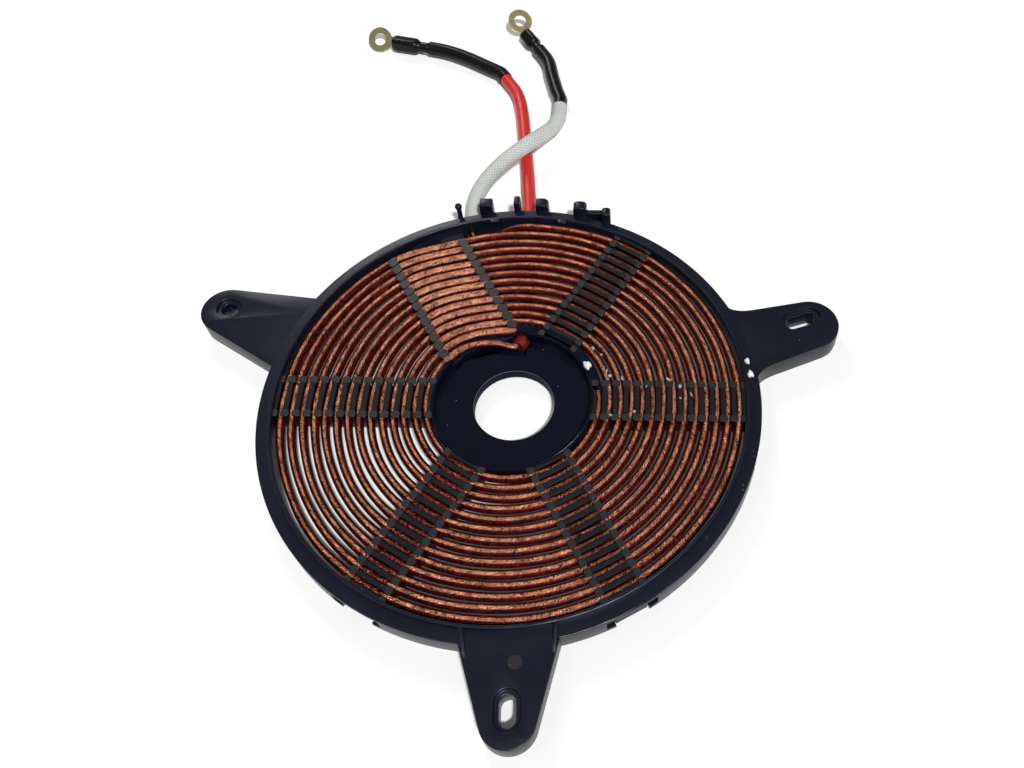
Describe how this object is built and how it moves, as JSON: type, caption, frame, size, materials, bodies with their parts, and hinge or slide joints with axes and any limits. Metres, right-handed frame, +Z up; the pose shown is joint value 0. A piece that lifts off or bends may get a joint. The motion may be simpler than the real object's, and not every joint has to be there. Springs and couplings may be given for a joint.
{
  "type": "induction coil",
  "caption": "Flat spiral litz coil on a round spoked plastic carrier with three slotted ears, ferrite bars below and two sleeved leads with ring terminals.",
  "frame": {"origin": "on the standing surface, under the middle of the coil former's bounding box", "axes": "+Z up along the coil's axis, +Y towards the edge where the two leads leave, +X to the right when seen from the front ear"},
  "size_m": [0.2678, 0.3721, 0.0156],
  "materials": {
    "moulding_black": "satin black glass-filled polyester moulding",
    "enamelled_litz": "twisted enamelled copper litz, glossy",
    "ferrite_grey": "sintered ferrite, matt dark grey",
    "red_sleeving": "silicone coated red sleeving",
    "white_sleeving": "woven white fibreglass sleeving",
    "black_shrink": "black heat-shrink tube",
    "terminal_brass": "plain brass ring terminal",
    "white_adhesive": "cured white silicone adhesive"
  },
  "bodies": {
    "root": {"coil_former": "moulding_black", "litz_winding": "enamelled_litz", "ferrite_bar_1": "ferrite_grey", "ferrite_bar_2": "ferrite_grey", "ferrite_bar_3": "ferrite_grey", "ferrite_bar_4": "ferrite_grey", "ferrite_bar_5": "ferrite_grey", "ferrite_bar_6": "ferrite_grey", "red_inner_run": "red_sleeving", "red_lead": "red_sleeving", "white_lead": "white_sleeving", "red_heat_shrink": "black_shrink", "white_heat_shrink": "black_shrink", "red_crimp_cover": "black_shrink", "white_crimp_cover": "black_shrink", "red_ring_terminal": "terminal_brass", "white_ring_terminal": "terminal_brass", "adhesive_dab_hub": "white_adhesive", "adhesive_dab_rim_inner": "white_adhesive", "adhesive_dab_rim_outer": "white_adhesive"}
  },
  "joints": []
}
